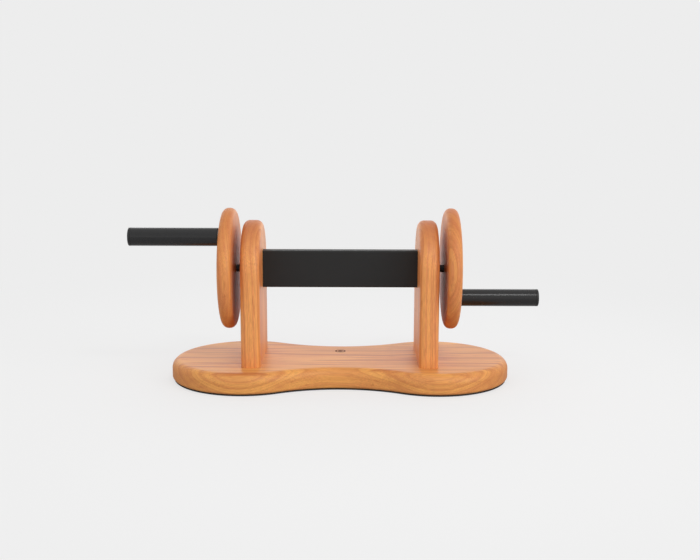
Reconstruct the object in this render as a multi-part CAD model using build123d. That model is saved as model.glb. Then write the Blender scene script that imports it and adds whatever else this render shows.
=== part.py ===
from build123d import *
import math
import os

os.makedirs("parts", exist_ok=True)

# Tabletop crank exerciser. Millimetres, +X along the axle, +Y to the back, +Z up.
# The origin is on the floor under the middle of the base. The crank body turns on the axle,
# and each hand grip turns on its own spindle. The left side is the right side mirrored, and
# the left spindle stands half a turn away from the right one.

# base board and mat
base_lobe_radius = 118.5
base_lobe_centre_x = 149.5
base_waist_half_width = 80.5
base_thickness = 31.0
base_top_fillet = 14.0
base_bottom_fillet = 5.0
mat_thickness = 3.0
mat_inset = 3.0

# uprights
upright_inner_x = 122.0
upright_thickness = 30.0
upright_radius = 76.0
upright_fillet = 10.0
axle_height = 177.5

# upright fixings, driven up through the base
bolt_y = 42.0
bolt_radius = 3.0
bolt_clearance_radius = 3.4
bolt_head_radius = 6.0
bolt_head_height = 3.6
bolt_recess_radius = 9.5
bolt_recess_depth = 12.0
washer_radius = 8.0
washer_thickness = 1.6
insert_radius = 5.0
insert_length = 20.0
dowel_y = 20.0
dowel_radius = 4.0
dowel_half_length = 15.0

# crank discs
disc_inner_x = 164.0
disc_thickness = 21.0
disc_radius = 95.0
disc_fillet = 9.5

# axle, its bearings and its retaining rings
axle_radius = 6.0
axle_hole_radius = 7.0
bearing_radius = 14.0
bearing_width = 8.0
outer_race_inner_radius = 11.8
inner_race_outer_radius = 8.2
ball_count = 8
ball_radius = 2.4
ball_circle_radius = 10.0
ball_running_gap = 0.12
cage_inner_radius = 9.3
cage_outer_radius = 10.7
cage_width = 6.0
seal_thickness = 0.6
ring_thickness = 1.0
ring_inner_radius = 5.5
ring_outer_radius = 8.2

# housing between the uprights
housing_height = 58.5
housing_depth = 20.0
housing_wall = 2.0
housing_corner = 2.4
end_block_thickness = 12.0
end_screw_z = 16.0
end_screw_length = 30.0
end_screw_radius = 2.0
end_screw_head_radius = 4.0
end_screw_head_height = 2.4
lock_screw_radius = 3.0
lock_screw_length = 8.0

# felt brake inside the housing
felt_gap = 0.3
felt_outer_radius = 8.3
felt_half_length = 38.0
block_half_length = 40.0
block_edge_height = 4.5
lower_block_height = 14.5
adjuster_x = 25.0
adjuster_radius = 4.0
adjuster_length = 7.6
insert_nut_radius = 5.5
insert_nut_depth = 6.0
insert_nut_flange_radius = 7.0
insert_nut_flange = 1.0
disc_spring_count = 4
disc_spring_pitch = 0.6
disc_spring_thickness = 0.4
disc_spring_radius = 4.0
disc_spring_hole_radius = 2.2

# hub in each disc
hub_flange_radius = 30.0
hub_flange_thickness = 4.0
hub_boss_radius = 12.0
hub_boss_length = 12.0
hub_recess_radius = 10.0
hub_recess_depth = 3.0
hub_screw_circle_radius = 21.5
hub_screw_length = 14.0
key_width = 4.0
key_length = 8.0
end_bolt_radius = 3.0
end_bolt_length = 20.0
end_bolt_head_radius = 5.2
end_bolt_head_height = 3.3
end_washer_radius = 8.5
end_washer_thickness = 1.6
cap_radius = 14.0
cap_height = 7.0
cap_wall = 1.5

# grips and the spindles that carry them
crank_radius = 73.0
crank_angle = math.radians(40.4)
grip_radius = 14.0
grip_bore_radius = 11.0
grip_gap = 1.0
grip_tip_x = 323.0
grip_cap_thickness = 4.0
grip_cap_plug = 8.0
grip_edge_fillet = 1.2
bush_length = 18.0
bush_running_gap = 0.06
spindle_radius = 6.0
spindle_flange_radius = 12.0
spindle_flange_sink = 3.0
spindle_flange_proud = 0.6
spindle_end_x = 302.0
spindle_thread_radius = 5.0
spindle_insert_radius = 7.5
spindle_insert_length = 14.0
retaining_gap = 0.4
retaining_washer_radius = 9.0
retaining_washer_thickness = 1.5
retaining_screw_radius = 2.5
retaining_screw_length = 14.0
retaining_head_radius = 4.5
retaining_head_height = 2.6

# places worked out from the sizes above
base_top_z = mat_thickness + base_thickness
upright_outer_x = upright_inner_x + upright_thickness
bearing_outer_x = upright_outer_x - ring_thickness
bearing_inner_x = bearing_outer_x - bearing_width
bearing_middle_x = bearing_outer_x - bearing_width / 2
end_block_inner_x = upright_inner_x - end_block_thickness
disc_outer_x = disc_inner_x + disc_thickness
hub_face_x = disc_outer_x
axle_end_x = hub_face_x - hub_recess_depth - 0.3
spindle_y = crank_radius * math.sin(crank_angle)
spindle_z = axle_height - crank_radius * math.cos(crank_angle)
grip_inner_x = disc_outer_x + grip_gap
upright_middle_x = upright_inner_x + upright_thickness / 2


def rod_x(radius, x_low, x_high, y=0.0, z=axle_height):
    """A cylinder along X between two X positions."""
    return Pos((x_low + x_high) / 2, y, z) * Rot(0, 90, 0) * Cylinder(radius, x_high - x_low)


def rod_z(radius, z_low, z_high, x, y):
    """A cylinder along Z between two heights."""
    return Pos(x, y, (z_low + z_high) / 2) * Cylinder(radius, z_high - z_low)


def cone_x(radius_low, radius_high, x_low, x_high, y=0.0, z=axle_height):
    """A cone along X, with one radius at each end."""
    middle = Pos((x_low + x_high) / 2, y, z)
    return middle * Rot(0, 90, 0) * Cone(radius_low, radius_high, x_high - x_low)


def box_between(x_low, x_high, y_low, y_high, z_low, z_high):
    """A box between two corners."""
    middle = Pos((x_low + x_high) / 2, (y_low + y_high) / 2, (z_low + z_high) / 2)
    return middle * Box(x_high - x_low, y_high - y_low, z_high - z_low)


def hexagon_x(across_flats, x_low, x_high, y, z):
    """A hexagonal prism along X."""
    outline = RegularPolygon(across_flats / 2, 6, major_radius=False)
    return Pos(x_low, y, z) * Rot(0, 90, 0) * extrude(outline, x_high - x_low)


def hexagon_z(across_flats, z_low, z_high, x, y):
    """A hexagonal prism along Z."""
    outline = RegularPolygon(across_flats / 2, 6, major_radius=False)
    return Pos(x, y, z_low) * extrude(outline, z_high - z_low)


def mirrored(shape):
    """The same piece on the left side."""
    return mirror(shape, about=Plane.YZ)


def opposite(shape):
    """The same piece on the left side, half a turn round the axle."""
    around_axle = Pos(0, 0, axle_height) * Rot(180, 0, 0) * Pos(0, 0, -axle_height)
    return around_axle * mirrored(shape)


def save(node, *pieces):
    """Write one node, a single solid or a group of separate ones."""
    solids = []
    for piece in pieces:
        solids.extend(piece.solids())
    shape = solids[0] if len(solids) == 1 else Compound(children=solids)
    shape.label = node
    export_step(shape, f"parts/{node}.step")


def peanut(z_low, z_high, inset):
    """Two round lobes joined by hollow arcs, extruded between two heights."""
    lobe = base_lobe_radius - inset
    waist = base_waist_half_width - inset
    centre = base_lobe_centre_x
    hollow = (centre**2 + waist**2 - lobe**2) / (2 * (lobe - waist))
    hollow_y = hollow + waist
    reach = lobe / (lobe + hollow)
    join_x = centre * (1 - reach)
    join_y = hollow_y * reach
    end_x = centre + lobe
    front = ThreePointArc((-join_x, -join_y), (0, -waist), (join_x, -join_y))
    right = ThreePointArc((join_x, -join_y), (end_x, 0), (join_x, join_y))
    back = ThreePointArc((join_x, join_y), (0, waist), (-join_x, join_y))
    left = ThreePointArc((-join_x, join_y), (-end_x, 0), (-join_x, -join_y))
    outline = make_face(Curve() + [front, right, back, left])
    return Pos(0, 0, z_low) * extrude(outline, z_high - z_low)


# --- fixings of the uprights -------------------------------------------------------------

recess_floor_z = mat_thickness + bolt_recess_depth
washer_low_z = recess_floor_z - washer_thickness
bolt_head_low_z = washer_low_z - bolt_head_height
bolt_top_z = base_top_z + insert_length - 2.0
fixing_places = []
for side in (-1, 1):
    for end in (-1, 1):
        fixing_places.append((side * upright_middle_x, end))

bolts = []
washers = []
inserts = []
dowels = []
bolt_holes = []
for x, end in fixing_places:
    y = end * bolt_y
    socket = hexagon_z(4.0, bolt_head_low_z - 1, bolt_head_low_z + 2.2, x, y)
    head = rod_z(bolt_head_radius, bolt_head_low_z, washer_low_z, x, y) - socket
    shank = rod_z(bolt_radius, washer_low_z, bolt_top_z, x, y)
    bolts.append(head + shank)
    washer = rod_z(washer_radius, washer_low_z, recess_floor_z, x, y)
    washers.append(washer - rod_z(bolt_radius, 0, base_top_z, x, y))
    insert = rod_z(insert_radius, base_top_z, base_top_z + insert_length, x, y)
    inserts.append(insert - rod_z(bolt_radius, 0, base_top_z + insert_length, x, y))
    dowel_low_z = base_top_z - dowel_half_length
    dowel = rod_z(dowel_radius, dowel_low_z, base_top_z + dowel_half_length, x, end * dowel_y)
    dowels.append(chamfer(dowel.edges(), 0.8))
    bolt_holes.append(rod_z(bolt_recess_radius, 0, recess_floor_z, x, y))
    bolt_holes.append(rod_z(bolt_clearance_radius, 0, base_top_z + 1, x, y))

save("upright_bolts", *bolts)
save("upright_bolt_washers", *washers)
save("upright_inserts", *inserts)
save("locating_dowels", *dowels)

# --- base board and mat ------------------------------------------------------------------

base = peanut(mat_thickness, base_top_z, 0.0)
base = fillet(base.faces().sort_by(Axis.Z)[-1].edges(), base_top_fillet)
base = fillet(base.faces().sort_by(Axis.Z)[0].edges(), base_bottom_fillet)
for hole in bolt_holes + dowels:
    base = base - hole
save("base_board", base)

save("anti_slip_mat", peanut(0.0, mat_thickness, mat_inset))

# --- screws that hold the end blocks, needed first as cutters ------------------------------


def end_block_screw(y, z):
    """A countersunk wood screw driven outwards through an end block."""
    head_end_x = end_block_inner_x + end_screw_head_height
    tip_x = end_block_inner_x + end_screw_length
    head = cone_x(end_screw_head_radius, end_screw_radius, end_block_inner_x, head_end_x, y, z)
    shank = rod_x(end_screw_radius, head_end_x, tip_x - 3, y, z)
    tip = cone_x(end_screw_radius, 0.4, tip_x - 3, tip_x, y, z)
    return head + shank + tip


end_screws = []
for z in (axle_height - end_screw_z, axle_height + end_screw_z):
    end_screws.append(end_block_screw(0.0, z))
save("end_block_screws", *end_screws, *[mirrored(screw) for screw in end_screws])

# --- uprights ----------------------------------------------------------------------------

upright = rod_x(upright_radius, upright_inner_x, upright_outer_x)
upright += box_between(
    upright_inner_x, upright_outer_x, -upright_radius, upright_radius, base_top_z, axle_height
)
side_faces = upright.faces().filter_by(Plane.YZ)
rounded_edges = []
for face in side_faces:
    for edge in face.edges():
        if edge.center().Z > base_top_z + 1:
            rounded_edges.append(edge)
upright = fillet(rounded_edges, upright_fillet)
upright -= rod_x(bearing_radius, bearing_inner_x, upright_outer_x + 1)
upright -= rod_x(axle_hole_radius, upright_inner_x - 1, bearing_inner_x + 1)
for end in (-1, 1):
    x = upright_middle_x
    upright -= rod_z(insert_radius, base_top_z - 1, base_top_z + insert_length, x, end * bolt_y)
    dowel_top_z = base_top_z + dowel_half_length
    upright -= rod_z(dowel_radius, base_top_z - 1, dowel_top_z, x, end * dowel_y)
for screw in end_screws:
    upright -= screw
save("right_upright", upright)
save("left_upright", mirrored(upright))

# --- bearings ----------------------------------------------------------------------------

race_middle = Pos(bearing_middle_x, 0, axle_height) * Rot(0, 90, 0)
outer_race = rod_x(bearing_radius, bearing_inner_x, bearing_outer_x)
outer_race -= rod_x(outer_race_inner_radius, bearing_inner_x - 1, bearing_outer_x + 1)
outer_race -= race_middle * Torus(ball_circle_radius, ball_radius)
save("right_bearing_outer", outer_race)
save("left_bearing_outer", mirrored(outer_race))

inner_race = rod_x(inner_race_outer_radius, bearing_inner_x, bearing_outer_x)
inner_race -= rod_x(axle_radius, bearing_inner_x - 1, bearing_outer_x + 1)
inner_race -= race_middle * Torus(ball_circle_radius, ball_radius + ball_running_gap)
save("right_bearing_inner", inner_race)
save("left_bearing_inner", mirrored(inner_race))

balls = []
cage = rod_x(
    cage_outer_radius, bearing_middle_x - cage_width / 2, bearing_middle_x + cage_width / 2
)
cage -= rod_x(cage_inner_radius, bearing_inner_x - 1, bearing_outer_x + 1)
for index in range(ball_count):
    angle = 2 * math.pi * index / ball_count
    ball_y = ball_circle_radius * math.cos(angle)
    ball_z = axle_height + ball_circle_radius * math.sin(angle)
    place = Pos(bearing_middle_x, ball_y, ball_z)
    balls.append(place * Sphere(ball_radius))
    cage -= place * Sphere(ball_radius + ball_running_gap)
save("right_bearing_balls", *balls)
save("left_bearing_balls", *[mirrored(ball) for ball in balls])
save("right_bearing_cage", cage)
save("left_bearing_cage", mirrored(cage))

seals = []
for x in (bearing_inner_x, bearing_outer_x - seal_thickness):
    seal = rod_x(outer_race_inner_radius, x, x + seal_thickness)
    seal -= rod_x(inner_race_outer_radius + 0.15, x - 1, x + seal_thickness + 1)
    seals.append(seal)
save("bearing_seals", *seals, *[mirrored(seal) for seal in seals])

retaining_ring = rod_x(ring_outer_radius, bearing_outer_x, upright_outer_x)
ring_groove = rod_x(ring_inner_radius, bearing_outer_x - 1, upright_outer_x + 1)
retaining_ring -= ring_groove
ring_slot = box_between(
    bearing_outer_x - 1, upright_outer_x + 1, -1.5, 1.5, axle_height, axle_height + bearing_radius
)
retaining_ring -= ring_slot
save("retaining_rings", retaining_ring, mirrored(retaining_ring))

# --- housing, its end blocks and their lock screws -----------------------------------------

housing_bottom_z = axle_height - housing_height / 2
inner_height = housing_height - 2 * housing_wall
inner_depth = housing_depth - 2 * housing_wall
inner_corner = housing_corner - housing_wall


def bar_x(depth, height, corner, x_low, x_high):
    """A bar along X with rounded long edges, centred on the axle."""
    outline = RectangleRounded(height, depth, corner)
    return Pos(x_low, 0, axle_height) * Rot(0, 90, 0) * extrude(outline, x_high - x_low)


lock_screw_x = upright_inner_x - end_block_thickness / 2
lock_top_z = housing_bottom_z + lock_screw_length
lock_hole = rod_z(lock_screw_radius, housing_bottom_z - 1, lock_top_z, lock_screw_x, 0)
lock_screw = rod_z(lock_screw_radius, housing_bottom_z, lock_top_z, lock_screw_x, 0)
lock_screw -= hexagon_z(3.0, housing_bottom_z - 1, housing_bottom_z + 2.5, lock_screw_x, 0)
lock_screws = [lock_screw, mirrored(lock_screw)]
save("housing_lock_screws", *lock_screws)

end_block = bar_x(inner_depth, inner_height, inner_corner, end_block_inner_x, upright_inner_x)
end_block -= rod_x(axle_hole_radius, end_block_inner_x - 1, upright_inner_x + 1)
for screw in end_screws + [lock_hole]:
    end_block -= screw
save("right_end_block", end_block)
save("left_end_block", mirrored(end_block))

housing = bar_x(
    housing_depth, housing_height, housing_corner, -upright_inner_x, upright_inner_x
)
housing -= bar_x(
    inner_depth, inner_height, inner_corner, -upright_inner_x - 1, upright_inner_x + 1
)
for hole in (lock_hole, mirrored(lock_hole)):
    housing -= hole
for x in (-adjuster_x, adjuster_x):
    housing -= rod_z(insert_nut_radius, housing_bottom_z - 1, housing_bottom_z + 5, x, 0)
save("housing_tube", housing)

# --- felt brake: the upper block fills the tube, and the lower one is sprung up from below --

inner_top_z = axle_height + inner_height / 2
lower_block_low_z = axle_height - block_edge_height - lower_block_height
adjuster_top_z = lower_block_low_z - disc_spring_count * disc_spring_pitch
adjuster_low_z = adjuster_top_z - adjuster_length
insert_flange_z = housing_bottom_z + housing_wall


def brake_half(z_low, z_high):
    """A brake block with its groove for the felt, and the felt pad in that groove."""
    reach = block_half_length
    share = box_between(-reach, reach, -inner_depth / 2, inner_depth / 2, z_low, z_high)
    block = bar_x(inner_depth, inner_height, inner_corner, -reach, reach) & share
    block -= rod_x(felt_outer_radius, -reach - 1, reach + 1)
    felt = rod_x(felt_outer_radius, -felt_half_length, felt_half_length)
    felt -= rod_x(axle_radius + felt_gap, -reach, reach)
    return block, felt & share


upper_block, upper_felt = brake_half(axle_height + block_edge_height, inner_top_z)
lower_block, lower_felt = brake_half(lower_block_low_z, axle_height - block_edge_height)
save("upper_brake_block", upper_block)
save("lower_brake_block", lower_block)
save("upper_felt_pad", upper_felt)
save("lower_felt_pad", lower_felt)

adjusters = []
insert_nuts = []
disc_springs = []
for x in (-adjuster_x, adjuster_x):
    adjuster = rod_z(adjuster_radius, adjuster_low_z, adjuster_top_z, x, 0)
    adjusters.append(adjuster - hexagon_z(4.0, adjuster_low_z - 1, adjuster_low_z + 3.0, x, 0))
    insert_nut = rod_z(
        insert_nut_radius, housing_bottom_z, housing_bottom_z + insert_nut_depth, x, 0
    )
    insert_nut += rod_z(
        insert_nut_flange_radius, insert_flange_z, insert_flange_z + insert_nut_flange, x, 0
    )
    insert_nuts.append(insert_nut - rod_z(adjuster_radius, 0, adjuster_top_z + 1, x, 0))
    for layer in range(disc_spring_count):
        rise = disc_spring_pitch - disc_spring_thickness
        outer_lift = rise if layer % 2 else 0.0
        inner_lift = rise - outer_lift
        section = Polyline(
            (disc_spring_hole_radius, inner_lift),
            (disc_spring_radius, outer_lift),
            (disc_spring_radius, outer_lift + disc_spring_thickness),
            (disc_spring_hole_radius, inner_lift + disc_spring_thickness),
            close=True,
        )
        spring = revolve(make_face(Plane.XZ * section), Axis.Z)
        disc_springs.append(Pos(x, 0, adjuster_top_z + layer * disc_spring_pitch) * spring)
save("brake_adjusters", *adjusters)
save("brake_insert_nuts", *insert_nuts)
save("brake_disc_springs", *disc_springs)

# --- axle, keys and hubs -------------------------------------------------------------------

key_middle_x = hub_face_x - hub_recess_depth - 3.0 - key_length / 2
key_low_z = axle_height + axle_radius - key_width / 2
key = box_between(
    key_middle_x - key_length / 2, key_middle_x + key_length / 2,
    -key_width / 2, key_width / 2, key_low_z, key_low_z + key_width,
)
save("axle_keys", key, opposite(key))

end_bolt_head_x = hub_face_x - hub_recess_depth + end_washer_thickness
end_bolt_tip_x = end_bolt_head_x - end_bolt_length
end_bolt = rod_x(end_bolt_radius, end_bolt_tip_x, end_bolt_head_x)
end_bolt += rod_x(end_bolt_head_radius, end_bolt_head_x, end_bolt_head_x + end_bolt_head_height)
socket_x = end_bolt_head_x + end_bolt_head_height
end_bolt -= hexagon_x(4.0, socket_x - 2.0, socket_x + 1, 0, axle_height)
save("axle_end_bolts", end_bolt, mirrored(end_bolt))

end_washer = rod_x(end_washer_radius, hub_face_x - hub_recess_depth, end_bolt_head_x)
end_washer -= rod_x(end_bolt_radius, hub_face_x - hub_recess_depth - 1, end_bolt_head_x + 1)
save("axle_end_washers", end_washer, mirrored(end_washer))

axle = rod_x(axle_radius, -axle_end_x, axle_end_x)
axle = chamfer(axle.edges(), 0.8)
for cutter in (key, opposite(key)):
    axle -= cutter
for sign in (-1, 1):
    hole = rod_x(end_bolt_radius, end_bolt_tip_x, axle_end_x + 1)
    axle -= hole if sign > 0 else mirrored(hole)
groove = rod_x(axle_radius + 1, bearing_outer_x, upright_outer_x) - ring_groove
for cutter in (groove, mirrored(groove)):
    axle -= cutter
save("axle", axle)

hub_screws = []
for index in range(4):
    angle = math.radians(45 + 90 * index)
    y = hub_screw_circle_radius * math.cos(angle)
    z = axle_height + hub_screw_circle_radius * math.sin(angle)
    head_end_x = hub_face_x - end_screw_head_height
    tip_x = hub_face_x - hub_screw_length
    screw = cone_x(end_screw_radius, end_screw_head_radius, head_end_x, hub_face_x, y, z)
    screw += rod_x(end_screw_radius, tip_x + 2, head_end_x, y, z)
    screw += cone_x(0.4, end_screw_radius, tip_x, tip_x + 2, y, z)
    screw -= hexagon_x(2.5, hub_face_x - 1.4, hub_face_x + 1, y, z)
    hub_screws.append(screw)
save("hub_screws", *hub_screws, *[mirrored(screw) for screw in hub_screws])

hub_flange_x = hub_face_x - hub_flange_thickness
hub_boss_x = hub_flange_x - hub_boss_length
hub = rod_x(hub_flange_radius, hub_flange_x, hub_face_x)
hub = chamfer(hub.edges().sort_by(Axis.X)[-1], 0.5)
hub += rod_x(hub_boss_radius, hub_boss_x, hub_flange_x)
hub -= rod_x(axle_radius, hub_boss_x - 1, hub_face_x + 1)
hub -= rod_x(hub_recess_radius, hub_face_x - hub_recess_depth, hub_face_x + 1)
hub -= key
for screw in hub_screws:
    hub -= screw
for index in range(4):
    angle = math.radians(45 + 90 * index)
    y = hub_screw_circle_radius * math.cos(angle)
    z = axle_height + hub_screw_circle_radius * math.sin(angle)
    hub -= hexagon_x(2.5, hub_face_x - 1.4, hub_face_x + 1, y, z)
save("right_hub", hub)
save("left_hub", opposite(hub))

cap_roof_x = hub_face_x + cap_height - cap_wall - 0.5
cap = rod_x(cap_radius, hub_face_x, hub_face_x + cap_height)
cap = fillet(cap.edges().sort_by(Axis.X)[-1], 4.0)
cap -= rod_x(cap_radius - cap_wall, hub_face_x - 1, cap_roof_x)
spigot = rod_x(hub_recess_radius, hub_face_x - 1.2, cap_roof_x)
spigot -= rod_x(hub_recess_radius - 1.2, hub_face_x - 3, cap_roof_x + 1)
cap += spigot
save("right_hub_cap", cap)
save("left_hub_cap", mirrored(cap))

# --- spindles and what holds them ----------------------------------------------------------

flange_x = disc_outer_x - spindle_flange_sink
flange_face_x = disc_outer_x + spindle_flange_proud
insert_x = flange_x - spindle_insert_length

spindle = rod_x(spindle_radius, flange_x, spindle_end_x, spindle_y, spindle_z)
spindle = chamfer(spindle.edges().sort_by(Axis.X)[-1], 0.8)
spindle += rod_x(spindle_flange_radius, flange_x, flange_face_x, spindle_y, spindle_z)
spindle += rod_x(spindle_thread_radius, insert_x + 1, flange_x, spindle_y, spindle_z)
screw_tip_x = spindle_end_x - retaining_screw_length
screw_hole = rod_x(retaining_screw_radius, screw_tip_x, spindle_end_x + 1, spindle_y, spindle_z)
spindle -= screw_hole
save("right_spindle", spindle)
save("left_spindle", opposite(spindle))

spindle_insert = rod_x(spindle_insert_radius, insert_x, flange_x, spindle_y, spindle_z)
spindle_insert -= rod_x(spindle_thread_radius, insert_x - 1, flange_x + 1, spindle_y, spindle_z)
save("spindle_inserts", spindle_insert, opposite(spindle_insert))

# --- crank discs ---------------------------------------------------------------------------

disc = rod_x(disc_radius, disc_inner_x, disc_outer_x)
disc = fillet(disc.edges().filter_by(GeomType.CIRCLE), disc_fillet)
disc -= rod_x(axle_radius, disc_inner_x - 1, disc_outer_x + 1)
disc -= rod_x(hub_boss_radius, hub_boss_x, disc_outer_x + 1)
disc -= rod_x(hub_flange_radius, hub_flange_x, disc_outer_x + 1)
for screw in hub_screws:
    disc -= screw
disc -= rod_x(spindle_flange_radius, flange_x, disc_outer_x + 1, spindle_y, spindle_z)
disc -= rod_x(spindle_insert_radius, insert_x, flange_x + 1, spindle_y, spindle_z)
save("right_disc", disc)
save("left_disc", opposite(disc))

# --- grips ---------------------------------------------------------------------------------

outer_bush_end_x = spindle_end_x - retaining_gap
grip_cap_x = grip_tip_x - grip_cap_thickness

grip_tube = rod_x(grip_radius, grip_inner_x, grip_cap_x, spindle_y, spindle_z)
grip_tube = chamfer(grip_tube.edges().sort_by(Axis.X)[0], 0.6)
grip_tube -= rod_x(grip_bore_radius, grip_inner_x - 1, grip_tip_x, spindle_y, spindle_z)
save("right_grip_tube", grip_tube)
save("left_grip_tube", opposite(grip_tube))


def bush(x_low, x_high):
    """A plain bush pressed in the grip tube, running on the spindle."""
    body = rod_x(grip_bore_radius, x_low, x_high, spindle_y, spindle_z)
    bore = spindle_radius + bush_running_gap
    return body - rod_x(bore, x_low - 1, x_high + 1, spindle_y, spindle_z)


inner_bush = bush(grip_inner_x, grip_inner_x + bush_length)
outer_bush = bush(outer_bush_end_x - bush_length, outer_bush_end_x)
save("right_grip_inner_bush", inner_bush)
save("left_grip_inner_bush", opposite(inner_bush))
save("right_grip_outer_bush", outer_bush)
save("left_grip_outer_bush", opposite(outer_bush))

grip_cap = rod_x(grip_radius, grip_cap_x, grip_tip_x, spindle_y, spindle_z)
grip_cap = fillet(grip_cap.edges().sort_by(Axis.X)[-1], grip_edge_fillet)
grip_cap += rod_x(
    grip_bore_radius, grip_cap_x - grip_cap_plug, grip_cap_x, spindle_y, spindle_z
)
save("right_grip_end_cap", grip_cap)
save("left_grip_end_cap", opposite(grip_cap))

washer_end_x = spindle_end_x + retaining_washer_thickness
retaining_washer = rod_x(
    retaining_washer_radius, spindle_end_x, washer_end_x, spindle_y, spindle_z
)
retaining_washer -= rod_x(
    retaining_screw_radius, spindle_end_x - 1, washer_end_x + 1, spindle_y, spindle_z
)
save("retaining_washers", retaining_washer, opposite(retaining_washer))

head_end_x = washer_end_x + retaining_head_height
retaining_screw = rod_x(retaining_screw_radius, screw_tip_x, washer_end_x, spindle_y, spindle_z)
retaining_screw += rod_x(
    retaining_head_radius, washer_end_x, head_end_x, spindle_y, spindle_z
)
retaining_screw -= hexagon_x(3.0, head_end_x - 1.6, head_end_x + 1, spindle_y, spindle_z)
save("retaining_screws", retaining_screw, opposite(retaining_screw))
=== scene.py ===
import math
from functools import partial

import bmesh
import bpy
from mathutils import Euler, Matrix, Vector


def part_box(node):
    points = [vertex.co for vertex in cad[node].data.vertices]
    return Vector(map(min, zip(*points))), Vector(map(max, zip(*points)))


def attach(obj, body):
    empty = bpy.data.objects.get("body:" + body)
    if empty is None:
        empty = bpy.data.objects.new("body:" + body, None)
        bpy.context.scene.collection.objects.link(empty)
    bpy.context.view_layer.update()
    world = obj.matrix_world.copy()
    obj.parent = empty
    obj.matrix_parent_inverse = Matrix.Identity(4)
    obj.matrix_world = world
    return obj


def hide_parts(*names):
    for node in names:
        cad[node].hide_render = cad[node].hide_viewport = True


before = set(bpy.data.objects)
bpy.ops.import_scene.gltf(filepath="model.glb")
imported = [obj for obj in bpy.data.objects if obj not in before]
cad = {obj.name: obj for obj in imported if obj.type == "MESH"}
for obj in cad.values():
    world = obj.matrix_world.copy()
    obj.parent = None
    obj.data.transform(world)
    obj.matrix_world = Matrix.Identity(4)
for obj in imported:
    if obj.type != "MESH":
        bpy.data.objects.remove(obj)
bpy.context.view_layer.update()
crease_degrees = 32


# --- Base board -------------------------------------------------------------------------
# A solid cherry plank, sawn to two round lobes with a hollow waist, its top edge rounded
# over with a large cutter and its lower edge with a small one, then sanded and oiled.
# The grain runs from lobe to lobe, and a small plain ring is burnt in behind the middle.

base_low, base_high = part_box("base_board")
lobe_radius = base_high.y
lobe_centre_x = base_high.x - lobe_radius
waist_half_width = 0.0805
top_round = 0.014
foot_round = 0.005
support = 0.0012
burnt_ring_y = 0.036
burnt_ring_radius = 0.0075
burnt_ring_half_width = 0.0012
burnt_dot_radius = 0.0042
burnt_softness = 0.0003


def peanut(inset, points_per_arc=56):
    """The board's outline, moved inwards by inset, as points going round counter-clockwise."""
    lobe = lobe_radius - inset
    waist = waist_half_width - inset
    hollow = (lobe_centre_x**2 + waist**2 - lobe**2) / (2 * (lobe - waist))
    hollow_y = hollow + waist
    join = math.atan2(hollow_y, lobe_centre_x)
    arcs = [
        ((lobe_centre_x, 0.0), lobe, join - math.pi, math.pi - join),
        ((0.0, hollow_y), hollow, -join, join - math.pi),
        ((-lobe_centre_x, 0.0), lobe, join, 2 * math.pi - join),
        ((0.0, -hollow_y), hollow, math.pi - join, join),
    ]
    points = []
    for (centre_x, centre_y), radius, start, end in arcs:
        for step in range(points_per_arc):
            turn = start + (end - start) * step / points_per_arc
            points.append((centre_x + radius * math.cos(turn), centre_y + radius * math.sin(turn)))
    return points


def closed_up(piece):
    """Merge a piece's doubles, drop loose edges, face it outwards and smooth it."""
    mesh = piece.data
    work = bmesh.new()
    work.from_mesh(mesh)
    bmesh.ops.remove_doubles(work, verts=work.verts, dist=1e-6)
    loose = [edge for edge in work.edges if not edge.link_faces]
    bmesh.ops.delete(work, geom=loose, context="EDGES")
    bmesh.ops.delete(work, geom=[v for v in work.verts if not v.link_faces], context="VERTS")
    bmesh.ops.recalc_face_normals(work, faces=work.faces)
    work.to_mesh(mesh)
    work.free()
    mesh.shade_smooth()
    mesh.set_sharp_from_angle(angle=math.radians(crease_degrees))
    return piece


def linked(name, mesh):
    """A new object in the scene that holds the mesh."""
    piece = bpy.data.objects.new(name, mesh)
    bpy.context.scene.collection.objects.link(piece)
    return piece


def mesh_piece(name, vertices, faces):
    """A piece from plain lists."""
    mesh = bpy.data.meshes.new(name)
    mesh.from_pydata(vertices, [], faces)
    return closed_up(linked(name, mesh))


def stacked_outline(name, layers):
    """A closed slab from outline layers, each an (inset, height), first and last filled."""
    vertices = []
    faces = []
    count = 0
    for inset, height in layers:
        outline = peanut(inset)
        count = len(outline)
        vertices += [(x, y, height) for x, y in outline]
    for layer in range(len(layers) - 1):
        for index in range(count):
            following = (index + 1) % count
            low = layer * count
            high = low + count
            faces.append((low + index, low + following, high + following, high + index))
    faces.append(tuple(range(count))[::-1])
    faces.append(tuple(range(len(vertices) - count, len(vertices))))
    return mesh_piece(name, vertices, faces)


def rounding(radius, steps=10):
    """A quarter round as (distance in from the edge, distance up from where it starts)."""
    turns = [math.pi / 2 * step / steps for step in range(steps + 1)]
    return [(radius * (1 - math.cos(turn)), radius * math.sin(turn)) for turn in turns]


base_layers = [(foot_round + support, base_low.z)]
base_layers += [(inset, base_low.z + foot_round - rise) for inset, rise in rounding(foot_round)][::-1]
base_layers += [(inset, base_high.z - top_round + rise) for inset, rise in rounding(top_round, 16)]
base_layers += [(top_round + support, base_high.z)]
base_board = stacked_outline("base_plank", base_layers)


def add(tree, kind, values=None, **settings):
    """One node: settings are its properties, values its inputs, each a socket or a constant."""
    node = tree.nodes.new(kind)
    for name, setting in settings.items():
        setattr(node, name, setting)
    for key, value in (values or {}).items():
        if isinstance(value, bpy.types.NodeSocket):
            tree.links.new(value, node.inputs[key])
        else:
            node.inputs[key].default_value = value
    return node


def calc(tree, operation, first, second=0.0, third=0.0, clamp=False):
    """A Math node's result."""
    values = {0: first, 1: second, 2: third}
    return add(tree, "ShaderNodeMath", values, operation=operation, use_clamp=clamp).outputs[0]


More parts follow.
